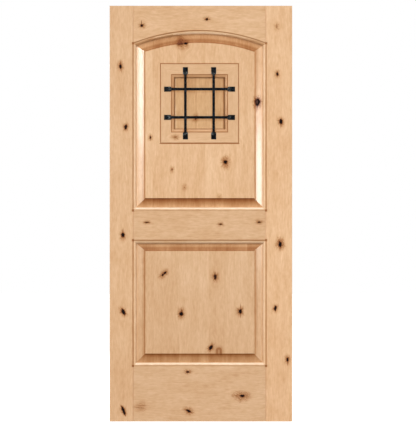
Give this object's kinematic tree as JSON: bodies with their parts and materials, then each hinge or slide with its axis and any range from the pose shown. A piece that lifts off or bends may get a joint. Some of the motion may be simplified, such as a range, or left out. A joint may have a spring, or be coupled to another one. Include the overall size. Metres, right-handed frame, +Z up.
{
  "type": "arched panel door leaf",
  "caption": "Stile-and-rail door leaf in knotty wood with an arched upper panel, a rectangular lower panel and a barred speakeasy window with a hinged shutter.",
  "frame": {"origin": "middle of the leaf's bottom edge, at half its width and half its thickness", "axes": "+Z up the leaf, -Y out of the face with the grille, +X to the right when looking at that face"},
  "size_m": [0.892, 0.0865, 2.032],
  "materials": {
    "knotty_alder": "clear satin lacquer over pale knotty alder, darker in the recesses",
    "dowel_beech": "plain turned beech, hidden in the joints",
    "black_iron": "hammered wrought iron, blackened and waxed",
    "dark_steel": "black oxide, bright where the screwdriver and the slide rub"
  },
  "bodies": {
    "leaf": {"left_stile": "knotty_alder", "right_stile": "knotty_alder", "top_rail": "knotty_alder", "lock_rail": "knotty_alder", "bottom_rail": "knotty_alder", "rail_dowels": "dowel_beech", "upper_panel": "knotty_alder", "lower_panel": "knotty_alder", "window_frame_left": "knotty_alder", "window_frame_right": "knotty_alder", "window_frame_top": "knotty_alder", "window_frame_bottom": "knotty_alder", "grille_bar_left": "black_iron", "grille_bar_right": "black_iron", "grille_bar_upper": "black_iron", "grille_bar_lower": "black_iron", "grille_screws": "black_iron", "hinge_frame_leaf_upper": "black_iron", "hinge_frame_leaf_lower": "black_iron", "hinge_pin_upper": "dark_steel", "hinge_pin_lower": "dark_steel", "hinge_frame_screws": "dark_steel", "bolt_keeper": "black_iron", "bolt_keeper_screws": "dark_steel"},
    "shutter": {"shutter": "knotty_alder", "shutter_knob": "black_iron", "hinge_shutter_leaf_upper": "black_iron", "hinge_shutter_leaf_lower": "black_iron", "hinge_shutter_screws": "dark_steel", "bolt_plate": "black_iron", "bolt_plate_screws": "dark_steel"},
    "bolt": {"bolt_rod": "dark_steel", "bolt_thumb_knob": "black_iron"}
  },
  "joints": [
    {"name": "shutter_hinge", "type": "hinge", "parent": "leaf", "child": "shutter", "pos_m": [-0.13975, 0.02355, 1.55525], "axis": [0, 0, 1], "range_deg": [0, 170]},
    {"name": "bolt_slide", "type": "slide", "parent": "shutter", "child": "bolt", "axis": [1, 0, 0], "range_m": [0, 0.016]}
  ]
}
